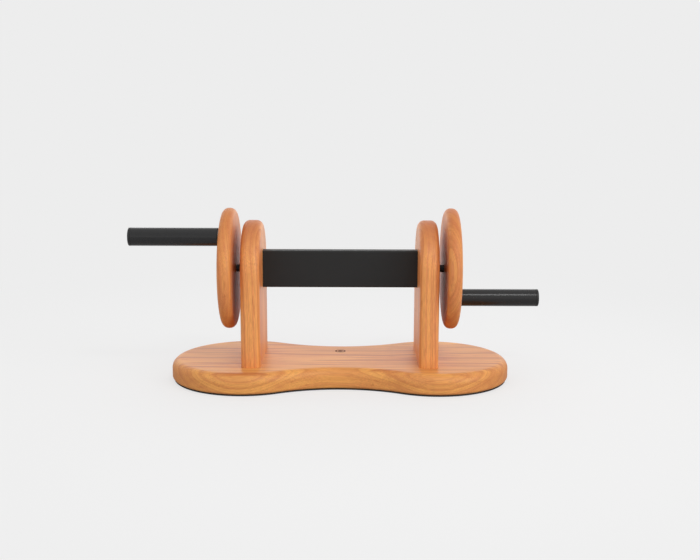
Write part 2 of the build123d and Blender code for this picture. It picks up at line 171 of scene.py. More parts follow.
def stretched_noise(tree, vector, scale, detail=2.0, roughness=0.5):
    """Noise on the vector times a scale for each axis, between about 0.2 and 0.8."""
    moved = add(tree, "ShaderNodeVectorMath", {0: vector, 1: scale}, operation="MULTIPLY")
    values = {"Vector": moved.outputs[0], "Scale": 1.0, "Detail": detail, "Roughness": roughness}
    return add(tree, "ShaderNodeTexNoise", values).outputs["Fac"]


def band(tree, value, low, high, out_low=0.0, out_high=1.0):
    """A smooth step of the value from one range to another."""
    values = {"Value": value, "From Min": low, "From Max": high, "To Min": out_low, "To Max": out_high}
    return add(tree, "ShaderNodeMapRange", values, interpolation_type="SMOOTHSTEP").outputs[0]


def mix_colour(tree, factor, first, second, blend="MIX"):
    """Two colours mixed or blended."""
    node = add(tree, "ShaderNodeMix", data_type="RGBA", blend_type=blend)
    for socket, value in zip((node.inputs[0], node.inputs[6], node.inputs[7]), (factor, first, second)):
        if isinstance(value, bpy.types.NodeSocket):
            tree.links.new(value, socket)
        else:
            socket.default_value = value
    return node.outputs[2]


def as_grey(tree, value):
    """A value as a colour."""
    return add(tree, "ShaderNodeCombineColor", {0: value, 1: value, 2: value}).outputs[0]


def in_millimetres(tree, vector):
    """Object coordinates in millimetres."""
    return add(tree, "ShaderNodeVectorMath", {0: vector, "Scale": 1000.0}, operation="SCALE").outputs[0]


def tools_for(tree):
    """The functions calc, add, band, mix_colour and stretched_noise, each set to one tree."""
    return [partial(tool, tree) for tool in (calc, add, band, mix_colour, stretched_noise)]


def node_group(name, kind, inputs, outputs):
    """An empty node group with named sockets, its input node's sockets and its output node's.
    An input is given as its default value, or as its kind where it has none."""
    tree = bpy.data.node_groups.new(name, kind)
    for socket_name, value in inputs.items():
        if isinstance(value, str):
            socket_kind = value
        elif isinstance(value, tuple):
            socket_kind = "Vector" if len(value) == 3 else "Color"
        else:
            socket_kind = "Int" if isinstance(value, int) else "Float"
        socket = tree.interface.new_socket(
            socket_name, in_out="INPUT", socket_type="NodeSocket" + socket_kind
        )
        if not isinstance(value, str):
            socket.default_value = value
    for socket_name, socket_kind in outputs.items():
        tree.interface.new_socket(
            socket_name, in_out="OUTPUT", socket_type="NodeSocket" + socket_kind
        )
    return tree, tree.nodes.new("NodeGroupInput").outputs, tree.nodes.new("NodeGroupOutput").inputs


def wire(tree, inputs, **values):
    """Link values to inputs by name, with an underscore for each space."""
    for name, value in values.items():
        tree.links.new(value, inputs[name.replace("_", " ")])


surface_outputs = {"Color": "Color", "Roughness": "Float", "Height": "Float"}


# The wood is one shader group. Rings are distances from a pith that lies outside the board,
# bent by slow noise, so that flat faces show long flames and rounded ends show arcs. End
# grain is darkened, partly as real darker end grain and partly as painted shade: on the
# uprights and discs the end grain is their tops and bottoms, which it darkens as if less
# light fell there. Near-level faces can have dark streaks along the grain.
wood_grain, given, result = node_group(
    "wood grain", "ShaderNodeTree",
    {
        "Vector": "Vector", "Grain Along": (1.0, 0.0, 0.0), "Surface Normal": "Vector",
        "Pith Y": 300.0, "Pith Z": -500.0, "Ring Width": 3.2, "Bend": 14.0, "Ring Strength": 0.3,
        "Band Width": 3.0, "End Darkness": 0.45, "Streaks": 0.0,
        "Light Tone": (0.83, 0.358, 0.1, 1.0), "Warm Tone": (0.71, 0.262, 0.082, 1.0),
        "Late Tone": (0.47, 0.125, 0.035, 1.0),
    },
    surface_outputs,
)
maths, new, ease, mix, noise = tools_for(wood_grain)
millimetres = in_millimetres(wood_grain, given["Vector"])
along = new("ShaderNodeSeparateXYZ", {0: millimetres})
across_y = maths("SUBTRACT", along.outputs["Y"], given["Pith Y"])
across_z = maths("SUBTRACT", along.outputs["Z"], given["Pith Z"])
squares = maths("MULTIPLY_ADD", across_y, across_y, maths("MULTIPLY", across_z, across_z))
from_pith = maths("SQRT", squares)
slow_bend = noise(millimetres, (0.0042, 0.009, 0.009), 1.0)
small_bend = noise(millimetres, (0.014, 0.04, 0.04), 1.0)
bent = maths("MULTIPLY_ADD", maths("SUBTRACT", slow_bend, 0.5), given["Bend"], from_pith)
bent = maths("MULTIPLY_ADD", maths("SUBTRACT", small_bend, 0.5), 2.2, bent)
rings = maths("DIVIDE", bent, given["Ring Width"])
uneven = new(
    "ShaderNodeTexNoise",
    {"W": maths("MULTIPLY", rings, 0.4), "Scale": 1.0, "Detail": 1.0}, noise_dimensions="1D",
).outputs["Fac"]
rings = maths("MULTIPLY_ADD", uneven, 1.8, rings)
in_ring = maths("FRACT", rings)
ring_tone = new(
    "ShaderNodeTexWhiteNoise", {"W": maths("FLOOR", rings)}, noise_dimensions="1D"
).outputs["Value"]
rise = maths("POWER", in_ring, 2.6)
late = maths("MULTIPLY", rise, ease(in_ring, 1.0, 0.86))
late = maths("MULTIPLY", late, maths("MULTIPLY_ADD", ring_tone, 1.3, 0.3))
broad = new(
    "ShaderNodeTexNoise",
    {"W": maths("DIVIDE", rings, given["Band Width"]), "Scale": 1.0, "Detail": 1.5},
    noise_dimensions="1D",
).outputs["Fac"]
stripes = noise(millimetres, (0.006, 0.16, 0.16), 2.0)
fibres = noise(millimetres, (0.022, 1.3, 1.3), 3.0, 0.6)
pores = noise(millimetres, (0.1, 4.2, 4.2), 1.0)
patches = noise(millimetres, (0.007, 0.025, 0.025), 1.0)
gum = noise(millimetres, (0.03, 0.26, 0.26), 1.0)
streaks = noise(millimetres, (0.006, 0.13, 0.02), 1.0)

tone = maths("MULTIPLY_ADD", stripes, 0.6, maths("MULTIPLY_ADD", patches, 0.5, broad))
colour = mix(ease(tone, 0.82, 1.28), given["Light Tone"], given["Warm Tone"])
late_amount = maths("MULTIPLY", late, given["Ring Strength"], clamp=True)
colour = mix(late_amount, colour, given["Late Tone"])
fibre_light = ease(fibres, 0.25, 0.75, 0.84, 1.13)
pore_dark = ease(pores, 0.63, 0.74, 1.0, 0.94)
facing = new(
    "ShaderNodeVectorMath",
    {0: given["Surface Normal"], 1: given["Grain Along"]}, operation="DOT_PRODUCT",
).outputs["Value"]
end_grain = ease(maths("ABSOLUTE", facing), 0.2, 0.95)
side_grain = maths("SUBTRACT", 0.4, maths("MULTIPLY", end_grain, 0.4))
gum_amount = maths("MULTIPLY", ease(gum, 0.66, 0.76), side_grain)
colour = mix(gum_amount, colour, given["Late Tone"])
facing_up = new("ShaderNodeSeparateXYZ", {0: given["Surface Normal"]}).outputs["Z"]
flat_face = ease(maths("ABSOLUTE", facing_up), 0.6, 0.98)
streak_amount = maths("MULTIPLY", ease(streaks, 0.51, 0.65), given["Streaks"])
streak_amount = maths("MULTIPLY", streak_amount, flat_face)
colour = mix(streak_amount, colour, given["Late Tone"])
# End grain darkened towards the late tone: real darker end grain, and in part painted shade on the uprights'
# round tops and the discs' top and bottom rims.
colour = mix(maths("MULTIPLY", end_grain, given["End Darkness"]), colour, given["Late Tone"])
light = maths("MULTIPLY", fibre_light, pore_dark)
colour = mix(1.0, colour, as_grey(wood_grain, light), "MULTIPLY")
rough = maths("MULTIPLY_ADD", fibres, 0.16, 0.34)
rough = maths("MULTIPLY_ADD", end_grain, 0.1, rough)
height = maths("MULTIPLY_ADD", pore_dark, 0.6, maths("MULTIPLY", fibres, 0.4))
height = maths("MULTIPLY_ADD", late, 0.25, height)
wire(wood_grain, result, Color=colour, Roughness=rough, Height=height)


def plain_material(name):
    """A material with its node tree, its shader and its texture coordinates."""
    material = bpy.data.materials.new(name)
    material.use_nodes = True
    tree = material.node_tree
    return material, tree, tree.nodes["Principled BSDF"], tree.nodes.new("ShaderNodeTexCoord").outputs


def cover(tree, shader, node, bump, bump_depth):
    """Link a finish group's node to the shader, its height as a bump."""
    raised = add(
        tree, "ShaderNodeBump",
        {"Strength": bump, "Distance": bump_depth, "Height": node.outputs["Height"]},
    )
    wire(
        tree, shader.inputs, Base_Color=node.outputs["Color"],
        Roughness=node.outputs["Roughness"], Normal=raised.outputs[0],
    )


def wood(name, grain_axis, centre, along, turn=0.0, shine=0.5, **grain_values):
    """Oiled cherry with its grain along X or Z. The pith's place is taken from the centre, and
    along picks the stretch of the tree that the piece is cut from."""
    material, tree, shader, coordinates = plain_material(name)
    rotation = Euler((turn, 0.0 if grain_axis == "X" else math.pi / 2, 0.0))
    shift = Vector((along, 0.0, 0.0)) - rotation.to_matrix() @ Vector(centre)
    mapping = add(
        tree, "ShaderNodeMapping",
        {"Vector": coordinates["Object"], "Location": shift, "Rotation": rotation},
    )
    grain = add(tree, "ShaderNodeGroup", node_tree=wood_grain)
    tree.links.new(mapping.outputs[0], grain.inputs["Vector"])
    tree.links.new(coordinates["Normal"], grain.inputs["Surface Normal"])
    grain.inputs["Grain Along"].default_value = (1.0, 0.0, 0.0) if grain_axis == "X" else (0.0, 0.0, 1.0)
    for key, value in grain_values.items():
        grain.inputs[key.replace("_", " ").title()].default_value = value
    cover(tree, shader, grain, 0.3, 0.0002)
    shader.inputs["IOR"].default_value = 1.48
    shader.inputs["Specular IOR Level"].default_value = shine
    return material


def place(piece, material, body, slot, *replaced):
    """Give a piece its material and body, and hide the CAD nodes that it stands for. The slot is not used."""
    piece.data.materials.clear()
    piece.data.materials.append(material)
    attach(piece, body)
    if replaced:
        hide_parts(*replaced)
    return piece


base_wood = wood(
    "base cherry", "X", (0.0, 0.0, 0.0), 0.0, shine=0.36,
    pith_y=240.0, pith_z=-460.0, ring_width=3.6, bend=15.0, ring_strength=0.4, band_width=2.6, streaks=0.62,
    light_tone=(0.85, 0.395, 0.101, 1.0), warm_tone=(0.72, 0.292, 0.084, 1.0),
)
base_tree = base_wood.node_tree
base_shader = base_tree.nodes["Principled BSDF"]
plain_colour = base_shader.inputs["Base Color"].links[0].from_socket
mark_place = add(
    base_tree, "ShaderNodeMapping",
    {
        "Vector": base_tree.nodes["Texture Coordinate"].outputs["Object"],
        "Location": (0, -burnt_ring_y, -base_high.z),
    },
)
mark_distance = add(
    base_tree, "ShaderNodeVectorMath", {0: mark_place.outputs[0]}, operation="LENGTH"
).outputs["Value"]
mark_offset = calc(base_tree, "ABSOLUTE", calc(base_tree, "SUBTRACT", mark_distance, burnt_ring_radius))
mark_ring = band(
    base_tree, mark_offset,
    burnt_ring_half_width + burnt_softness, burnt_ring_half_width - burnt_softness,
)
mark_dot = band(
    base_tree, mark_distance, burnt_dot_radius + burnt_softness, burnt_dot_radius - burnt_softness
)
mark = calc(base_tree, "MULTIPLY", calc(base_tree, "MAXIMUM", mark_ring, mark_dot), 0.92)
burnt = mix_colour(base_tree, mark, plain_colour, (0.045, 0.015, 0.006, 1.0))
plain_roughness = base_shader.inputs["Roughness"].links[0].from_socket
base_tree.links.new(burnt, base_shader.inputs["Base Color"])
base_tree.links.new(calc(base_tree, "MAXIMUM", plain_roughness, mark), base_shader.inputs["Roughness"])
place(base_board, base_wood, "base", "base_wood", "base_board")


# --- Anti-slip mat ----------------------------------------------------------------------
# A thin black rubber sheet glued under the base, a little smaller than it, with rows of
# low round studs moulded on its underside. The studs are what stands on the floor.

mat_low, mat_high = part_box("anti_slip_mat")
mat_inset = 0.003
stud_height = 0.0007
stud_radius = 0.0021
stud_spacing = 0.0075
stud_margin = 0.004
stud_taper = 0.72
probe_lift = 0.1
mat_corner = 0.0004
mat_corner_rise = 0.0003


def grown(name, tree, source, inputs):
    """A piece that a Geometry Nodes tree makes from a source mesh, kept as a plain mesh."""
    piece = linked(name, source)
    modifier = piece.modifiers.new(tree.name, "NODES")
    modifier.node_group = tree
    for socket in tree.interface.items_tree:
        if socket.name in inputs:
            modifier[socket.identifier] = inputs[socket.name]
    grown_mesh = bpy.data.meshes.new_from_object(piece.evaluated_get(bpy.context.evaluated_depsgraph_get()))
    piece.modifiers.remove(modifier)
    piece.data = grown_mesh
    return closed_up(piece)


def finish_tree(tree, geometry, material, output):
    """End a Geometry Nodes tree in plain, coloured geometry."""
    realised = add(tree, "GeometryNodeRealizeInstances", {0: geometry})
    coloured = add(tree, "GeometryNodeSetMaterial", {"Geometry": realised.outputs[0], "Material": material})
    tree.links.new(coloured.outputs[0], output)


stud_rows, given, result = node_group(
    "stud rows", "GeometryNodeTree",
    {
        "Area": "Geometry", "Length": 0.5, "Width": 0.2, "Spacing": 0.0075, "Stud Radius": 0.002,
        "Stud Height": 0.0007, "Material": "Material",
    },
    {"Studs": "Geometry"},
)
maths, new = tools_for(stud_rows)[:2]
columns = maths("ADD", maths("FLOOR", maths("DIVIDE", given["Length"], given["Spacing"])), 1.0)
rows = maths("ADD", maths("FLOOR", maths("DIVIDE", given["Width"], given["Spacing"])), 1.0)
field = new(
    "GeometryNodeMeshGrid",
    {"Size X": given["Length"], "Size Y": given["Width"], "Vertices X": columns, "Vertices Y": rows},
)
lifted = new("GeometryNodeTransform", {"Geometry": field.outputs[0], "Translation": (0.0, 0.0, probe_lift)})
over_area = new("GeometryNodeRaycast", {"Target Geometry": given["Area"], "Ray Length": 1.0})
beside = new("FunctionNodeBooleanMath", {0: over_area.outputs["Is Hit"]}, operation="NOT")
kept = new(
    "GeometryNodeDeleteGeometry", {"Geometry": lifted.outputs[0], "Selection": beside.outputs[0]}
)
low_end = maths("MULTIPLY", given["Stud Radius"], stud_taper)
stud = new(
    "GeometryNodeMeshCone",
    {
        "Vertices": 8, "Side Segments": 1, "Fill Segments": 1, "Radius Top": given["Stud Radius"],
        "Radius Bottom": low_end, "Depth": given["Stud Height"],
    },
)
floor_level = new(
    "GeometryNodeTransform", {"Geometry": stud.outputs[0], "Translation": (0.0, 0.0, -probe_lift)}
)
studs = new("GeometryNodeInstanceOnPoints", {"Points": kept.outputs[0], "Instance": floor_level.outputs[0]})
finish_tree(stud_rows, studs.outputs[0], given["Material"], result["Studs"])


# Moulded and coated surfaces share one group: a fine pebbled grain, slow blotches and dust.
fine_skin, given, result = node_group(
    "fine skin", "ShaderNodeTree",
    {
        "Vector": "Vector", "Tone": (0.03, 0.03, 0.03, 1.0), "Grain Size": 0.6, "Roughness": 0.5,
        "Roughness Spread": 0.08, "Blotch": 0.12, "Dust": 0.1,
    },
    surface_outputs,
)
maths, new, ease, mix, noise = tools_for(fine_skin)
millimetres = in_millimetres(fine_skin, given["Vector"])
grain_vector = new(
    "ShaderNodeVectorMath",
    {0: millimetres, "Scale": maths("DIVIDE", 1.0, given["Grain Size"])}, operation="SCALE",
).outputs[0]
grain = noise(grain_vector, (1.0, 1.0, 1.0), 3.0, 0.55)
blotches = noise(millimetres, (0.03, 0.05, 0.05), 3.0, 0.6)
specks = noise(millimetres, (1.1, 1.1, 1.1), 1.0)
speck = maths("MULTIPLY", ease(specks, 0.7, 0.8), given["Dust"])
uneven_tone = maths(
    "MULTIPLY_ADD", maths("SUBTRACT", blotches, 0.5), given["Blotch"],
    maths("MULTIPLY_ADD", grain, 0.2, 0.9),
)
colour = mix(1.0, given["Tone"], as_grey(fine_skin, uneven_tone), "MULTIPLY")
colour = mix(speck, colour, (0.35, 0.34, 0.33, 1.0))
spread = maths("MULTIPLY", maths("SUBTRACT", blotches, 0.5), given["Roughness Spread"])
rough = maths("ADD", spread, given["Roughness"])
wire(fine_skin, result, Color=colour, Roughness=rough, Height=grain)


def finish(name, group, values, metallic=0.0, bump=0.2, bump_depth=0.0001, shader_values=None):
    """A material that takes its colour, roughness and height from a finish group."""
    material, tree, shader, coordinates = plain_material(name)
    node = add(tree, "ShaderNodeGroup", node_tree=group)
    tree.links.new(coordinates["Object"], node.inputs["Vector"])
    for key, value in values.items():
        node.inputs[key].default_value = value
    cover(tree, shader, node, bump, bump_depth)
    shader.inputs["Metallic"].default_value = metallic
    for key, value in (shader_values or {}).items():
        shader.inputs[key].default_value = value
    return material


mat_rubber = finish(
    "mat rubber", fine_skin,
    {"Tone": (0.022, 0.018, 0.016, 1.0), "Grain Size": 0.5, "Roughness": 0.82, "Dust": 0.25}, bump=0.4,
)
sheet_z = mat_low.z + stud_height
mat_layers = [(mat_inset + mat_corner, sheet_z), (mat_inset, sheet_z + mat_corner_rise)]
mat_sheet = stacked_outline("mat_sheet", mat_layers + [(mat_inset, mat_high.z)])
place(mat_sheet, mat_rubber, "base", "mat_rubber", "anti_slip_mat")
stud_area = bpy.data.meshes.new("stud area")
stud_edge = [(x, y, mat_low.z) for x, y in peanut(mat_inset + stud_margin)]
stud_area.from_pydata(stud_edge, [], [tuple(range(len(stud_edge)))])
mat_studs = grown("mat_studs", stud_rows, stud_area, {
    "Length": mat_high.x - mat_low.x, "Width": mat_high.y - mat_low.y, "Spacing": stud_spacing,
    "Stud Radius": stud_radius, "Stud Height": stud_height, "Material": mat_rubber,
})
place(mat_studs, mat_rubber, "base", "mat_rubber")


# --- Uprights ---------------------------------------------------------------------------
# Two round-topped boards of the same cherry with upright grain, glued and bolted down on
# the base. Every edge but the foot is rounded over. The axle's hole widens on the outer
# side to the pocket that the bearing is pressed into.

upright_low, upright_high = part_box("right_upright")
axle_z = (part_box("axle")[0].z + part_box("axle")[1].z) / 2
bearing_low, bearing_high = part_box("right_bearing_outer")
upright_radius = upright_high.y
upright_round = 0.010
bearing_radius = (bearing_high.y - bearing_low.y) / 2
axle_hole_radius = 0.007
hole_edge = 0.0005


def upright_path(side_steps=20, arch_steps=72):
    """Edge points with their outward directions, from the front foot over the arch."""
    straight = axle_z - upright_low.z
    sides = [(-upright_radius, upright_low.z + straight * step / side_steps) for step in range(side_steps)]
    path = [(y, z, -1.0, 0.0) for y, z in sides]
    for step in range(arch_steps + 1):
        turn = math.pi * step / arch_steps
        out_y, out_z = -math.cos(turn), math.sin(turn)
        path.append((upright_radius * out_y, axle_z + upright_radius * out_z, out_y, out_z))
    return path + [(-y, z, 1.0, 0.0) for y, z in reversed(sides)]


def upright_board(name, side, foot_steps=16):
    """One upright. Side is 1 for the right, -1 for the left."""
    path = upright_path()
    thickness = upright_high.x - upright_low.x
    quarter = [(upright_round - rise_x, inset) for inset, rise_x in rounding(upright_round, 10)][::-1]
    section = [(0.0, upright_round + support)] + quarter
    section += [(thickness * part, 0.0) for part in (0.42, 0.58)]
    section += [(thickness - across, inset) for across, inset in quarter[::-1]]
    section += [(thickness, upright_round + support)]
    vertices = []
    faces = []
    width = len(section)
    for y, z, out_y, out_z in path:
        for across, inset in section:
            vertices.append((side * (upright_low.x + across), y - out_y * inset, z - out_z * inset))
    for row in range(len(path) - 1):
        for column in range(width - 1):
            corner = row * width + column
            faces.append((corner, corner + 1, corner + width + 1, corner + width))
    flat_half = upright_radius - upright_round - support
    rims = []
    for column, x in ((0, upright_low.x), (width - 1, upright_high.x)):
        rim = [row * width + column for row in range(len(path))]
        for step in range(1, foot_steps):
            rim.append(len(vertices))
            vertices.append((side * x, flat_half * (1 - 2 * step / foot_steps), upright_low.z))
        rims.append(rim)
    front_foot = list(range(width))
    back_foot = [(len(path) - 1) * width + column for column in range(width)]
    faces.append(tuple(front_foot + rims[1][len(path):][::-1] + back_foot[::-1] + rims[0][len(path):]))
    bore = [
        (upright_low.x, axle_hole_radius + hole_edge), (upright_low.x + hole_edge, axle_hole_radius),
        (bearing_low.x, axle_hole_radius), (bearing_low.x, bearing_radius),
        (upright_high.x - hole_edge, bearing_radius), (upright_high.x, bearing_radius + hole_edge),
    ]
    angles = [math.atan2(vertices[v][2] - axle_z, vertices[v][1]) for v in rims[0]]
    rings = []
    for x, radius in bore:
        rings.append([len(vertices) + index for index in range(len(angles))])
        vertices += [(side * x, radius * math.cos(a), axle_z + radius * math.sin(a)) for a in angles]
    chain = [rims[0]] + rings + [rims[1]]
    for first, second in zip(chain[:-1], chain[1:]):
        for index in range(len(first)):
            following = (index + 1) % len(first)
            faces.append((first[index], first[following], second[following], second[index]))
    return mesh_piece(name, vertices, faces)


for side, word in ((-1, "left"), (1, "right")):
    middle_x = side * (upright_low.x + upright_high.x) / 2
    upright_wood = wood(
        word + " upright cherry", "Z", (middle_x, 0.0, axle_z), 0.37 * side, turn=0.05 * side,
        pith_y=-55.0, pith_z=120.0 * side, ring_width=4.4, bend=10.0, ring_strength=0.62, band_width=1.6,
        # Set above the other pieces' end-grain darkening as painted shade, darkening the round tops as if
        # less light fell on them.
        end_darkness=0.72,
        light_tone=(0.89, 0.38, 0.105, 1.0), warm_tone=(0.76, 0.275, 0.088, 1.0),
    )
    board = upright_board(word + "_upright_board", side)
    place(board, upright_wood, "base", "upright_wood", word + "_upright")


# --- Fixings of the uprights ------------------------------------------------------------
# Two zinc-plated socket screws with washers come up through the base into threaded
# inserts in each upright's foot, beside two beech dowels. The mat covers their heads.

bolt_low, bolt_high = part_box("upright_bolts")
washer_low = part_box("upright_bolt_washers")[0]
bolt_radius = 0.003
bolt_head_radius = 0.006

# One tree turns every screw of the object: eight profile points from the middle of the head
# round to the tip, spun, with a hexagon socket cut in, and set on points along their aim.
screws, given, result = node_group(
    "socket screws", "GeometryNodeTree",
    {
        "Places": "Geometry", "Head Radius": 0.004, "Neck Radius": 0.004, "Head Height": 0.003,
        "Edge": 0.0004, "Shank Radius": 0.002, "Length": 0.02, "Tip Length": 0.001,
        "Tip Radius": 0.0015, "Socket Radius": 0.0015, "Socket Depth": 0.0015,
        "Material": "Material",
    },
    {"Screws": "Geometry"},
)
maths, new = tools_for(screws)[:2]
screw_sides = 32
below_head = maths("MULTIPLY", given["Head Height"], -1.0)
tip_start = maths("SUBTRACT", given["Tip Length"], given["Length"])
screw_end = maths("MULTIPLY", given["Length"], -1.0)
profile = [
    (0.0, 0.0),
    (maths("SUBTRACT", given["Head Radius"], given["Edge"]), 0.0),
    (given["Head Radius"], maths("MULTIPLY", given["Edge"], -1.0)),
    (given["Neck Radius"], below_head),
    (given["Shank Radius"], below_head),
    (given["Shank Radius"], tip_start),
    (given["Tip Radius"], screw_end),
    (0.0, screw_end),
]
lattice = new(
    "GeometryNodeMeshGrid",
    {"Size X": 1.0, "Size Y": 1.0, "Vertices X": len(profile), "Vertices Y": screw_sides + 1},
)
number = screws.nodes.new("GeometryNodeInputIndex").outputs[0]
row = maths("FLOOR", maths("DIVIDE", maths("ADD", number, 0.5), screw_sides + 1.0))
turn = maths("MULTIPLY", maths("MODULO", number, screw_sides + 1.0), 2 * math.pi / screw_sides)
chosen = new("GeometryNodeIndexSwitch", data_type="VECTOR")
while len(chosen.index_switch_items) < len(profile):
    chosen.index_switch_items.new()
screws.links.new(row, chosen.inputs["Index"])
for index, (radius, depth) in enumerate(profile):
    corner = new("ShaderNodeCombineXYZ", {0: radius, 2: depth})
    screws.links.new(corner.outputs[0], chosen.inputs[index + 1])
corner = new("ShaderNodeSeparateXYZ", {0: chosen.outputs[0]})
around = new(
    "ShaderNodeCombineXYZ",
    {
        0: maths("MULTIPLY", corner.outputs["X"], maths("COSINE", turn)),
        1: maths("MULTIPLY", corner.outputs["X"], maths("SINE", turn)),
        2: corner.outputs["Z"],
    },
)
spun = new("GeometryNodeSetPosition", {"Geometry": lattice.outputs[0], "Position": around.outputs[0]})
shut = new("GeometryNodeMergeByDistance", {"Geometry": spun.outputs[0], "Distance": 1e-6})
key_shape = new(
    "GeometryNodeMeshCylinder",
    {"Vertices": 6, "Radius": given["Socket Radius"], "Depth": maths("MULTIPLY", given["Socket Depth"], 2.0)},
)
body = new("GeometryNodeMeshBoolean", operation="DIFFERENCE", solver="EXACT")
screws.links.new(shut.outputs[0], body.inputs["Mesh 1"])
screws.links.new(key_shape.outputs[0], body.inputs["Mesh 2"])
aim = new("GeometryNodeInputNamedAttribute", {"Name": "aim"}, data_type="FLOAT_VECTOR")
turned_to = new("FunctionNodeAlignRotationToVector", {"Vector": aim.outputs["Attribute"]}, axis="Z")
copies = new(
    "GeometryNodeInstanceOnPoints",
    {"Points": given["Places"], "Instance": body.outputs[0], "Rotation": turned_to.outputs[0]},
)
finish_tree(screws, copies.outputs[0], given["Material"], result["Screws"])


def screw_set(name, places, material, **sizes):
    """Screws at (head centre, direction the head faces) pairs, with sizes in metres."""
    points = bpy.data.meshes.new(name)
    points.from_pydata([where for where, facing in places], [], [])
    aims = points.attributes.new("aim", "FLOAT_VECTOR", "POINT")
    for index, (where, facing) in enumerate(places):
        aims.data[index].vector = facing
    inputs = {key.replace("_", " ").title(): value for key, value in sizes.items()}
    return grown(name, screws, points, {**inputs, "Material": material})


# Bare and plated metals share one group: fine tool lines around the axle's direction, or
# along a chosen one, with slow smudges and a slight change of tone from place to place.
worked_metal, given, result = node_group(
    "worked metal", "ShaderNodeTree",
    {
        "Vector": "Vector", "Tone": (0.6, 0.6, 0.62, 1.0), "Line Stretch": (9.0, 0.05, 0.05),
        "Line Contrast": 0.16, "Roughness": 0.3, "Roughness Spread": 0.2, "Smudge": 0.2,
    },
    surface_outputs,
)
maths, new, _, mix, noise = tools_for(worked_metal)
millimetres = in_millimetres(worked_metal, given["Vector"])
line_vector = new(
    "ShaderNodeVectorMath", {0: millimetres, 1: given["Line Stretch"]}, operation="MULTIPLY"
).outputs[0]
lines = noise(line_vector, (1.0, 1.0, 1.0), 3.0, 0.6)
smudges = noise(millimetres, (0.09, 0.09, 0.09), 3.0, 0.6)
line_light = maths("MULTIPLY_ADD", maths("SUBTRACT", lines, 0.5), given["Line Contrast"], 1.0)
smudge_light = maths("MULTIPLY_ADD", maths("SUBTRACT", smudges, 0.5), given["Smudge"], line_light)
colour = mix(1.0, given["Tone"], as_grey(worked_metal, smudge_light), "MULTIPLY")
spread = maths("MULTIPLY", maths("SUBTRACT", smudges, 0.5), given["Roughness Spread"])
rough = maths("ADD", spread, given["Roughness"])
wire(worked_metal, result, Color=colour, Roughness=rough, Height=lines)

zinc = finish(
    "zinc plated steel", worked_metal,
    {"Tone": (0.62, 0.63, 0.66, 1.0), "Line Stretch": (1.5, 1.5, 1.5), "Roughness": 0.32}, metallic=1.0,
)


def from_below(low, high, radius, depths):
    """Places for screws that come up from below at both ends of their box."""
    ends = (low.x + radius, high.x - radius)
    return [((x, y, low.z), (0.0, 0.0, -1.0)) for x in ends for y in depths]


bolt_depths = (bolt_low.y + bolt_head_radius, bolt_high.y - bolt_head_radius)
bolt_places = from_below(bolt_low, bolt_high, bolt_head_radius, bolt_depths)
upright_bolts = screw_set(
    "upright_fixing_bolts", bolt_places, zinc,
    head_radius=bolt_head_radius, neck_radius=bolt_head_radius, head_height=washer_low.z - bolt_low.z,
    edge=0.0006, shank_radius=bolt_radius, length=bolt_high.z - bolt_low.z, tip_length=0.0008,
    tip_radius=0.0022, socket_radius=0.0023, socket_depth=0.0022,
)
place(upright_bolts, zinc, "base", "zinc_steel", "upright_bolts")


def refinish(material, *nodes):
    """Give carried-over CAD nodes a material."""
    for node in nodes:
        mesh = cad[node].data
        for index in range(max(1, len(cad[node].material_slots))):
            if not cad[node].material_slots:
                mesh.materials.append(material)
            cad[node].material_slots[index].material = material


refinish(zinc, "upright_bolt_washers", "upright_inserts")
beech = wood(
    "beech dowel", "Z", (0.0, 0.0, 0.0), 0.3, pith_y=30.0, pith_z=60.0, ring_width=1.4, ring_strength=0.2,
    light_tone=(0.72, 0.53, 0.33, 1.0), warm_tone=(0.66, 0.46, 0.28, 1.0), late_tone=(0.5, 0.33, 0.19, 1.0),
)
refinish(beech, "locating_dowels")


# --- Crossbar ---------------------------------------------------------------------------
# Rectangular steel tube with a satin black powder coat. It is slid over an aluminium block
# on each upright, which two wood screws hold, and a flush grub screw from below locks it.

lock_low, lock_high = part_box("housing_lock_screws")
lock_screw_radius = 0.003
black_coat = finish(
    "black powder coat", fine_skin,
    {
        "Tone": (0.015, 0.015, 0.015, 1.0), "Grain Size": 0.45, "Roughness": 0.55,
        "Roughness Spread": 0.1, "Blotch": 0.3, "Dust": 0.03,
    },
    bump=0.25, shader_values={"Specular IOR Level": 0.31},
)
aluminium = finish(
    "machined aluminium", worked_metal,
    {"Tone": (0.68, 0.69, 0.7, 1.0), "Line Stretch": (0.05, 6.0, 0.4), "Roughness": 0.34}, metallic=1.0,
)
black_oxide = finish(
    "black oxide steel", worked_metal,
    {"Tone": (0.03, 0.03, 0.032, 1.0), "Line Stretch": (5.0, 0.3, 0.3), "Roughness": 0.4, "Smudge": 0.5},
    metallic=0.4, bump=0.1,
)
refinish(black_coat, "housing_tube")
refinish(aluminium, "left_end_block", "right_end_block")
refinish(zinc, "end_block_screws")
lock_screws = screw_set(
    "crossbar_lock_screws", from_below(lock_low, lock_high, lock_screw_radius, (0.0,)), black_oxide,
    head_radius=lock_screw_radius, neck_radius=lock_screw_radius, head_height=0.0015, edge=0.0004,
    shank_radius=lock_screw_radius, length=lock_high.z - lock_low.z, tip_length=0.0006,
    tip_radius=0.0024, socket_radius=0.0017, socket_depth=0.0025,
)
place(lock_screws, black_oxide, "base", "screw_black", "housing_lock_screws")


# --- Felt brake -------------------------------------------------------------------------
# Inside the crossbar two plastic blocks hold felt pads round the axle. The lower one rests
# on disc springs on two grub screws, which run in threaded sleeves in the tube's underside.

